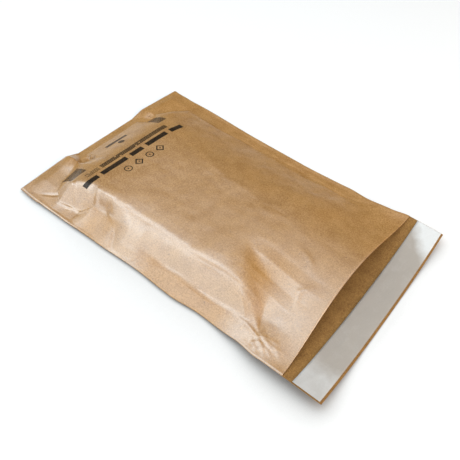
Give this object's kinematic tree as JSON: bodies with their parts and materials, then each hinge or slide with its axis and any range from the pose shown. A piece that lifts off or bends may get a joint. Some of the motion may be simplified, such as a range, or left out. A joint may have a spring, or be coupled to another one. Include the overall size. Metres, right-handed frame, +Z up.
{
  "type": "paper mailer",
  "caption": "Kraft paper mailing bag lying on its back, body puffed up, mouth open, with a flat flap that carries a glue strip under a white release liner.",
  "frame": {"origin": "on the floor, below the middle of the bag's box", "axes": "+X from the closed end to the flap, +Y across the bag towards its far side fold, +Z up"},
  "size_m": [0.3879, 0.2521, 0.0292],
  "materials": {
    "kraft_paper": "machine-glazed brown kraft, softly sheened outside",
    "hot_melt_glue": "glossy, slightly milky",
    "liner_paper": "white, satin from its silicone coat"
  },
  "bodies": {
    "root": {"paper_bag": "kraft_paper", "adhesive_strip": "hot_melt_glue", "release_liner": "liner_paper"}
  },
  "joints": []
}
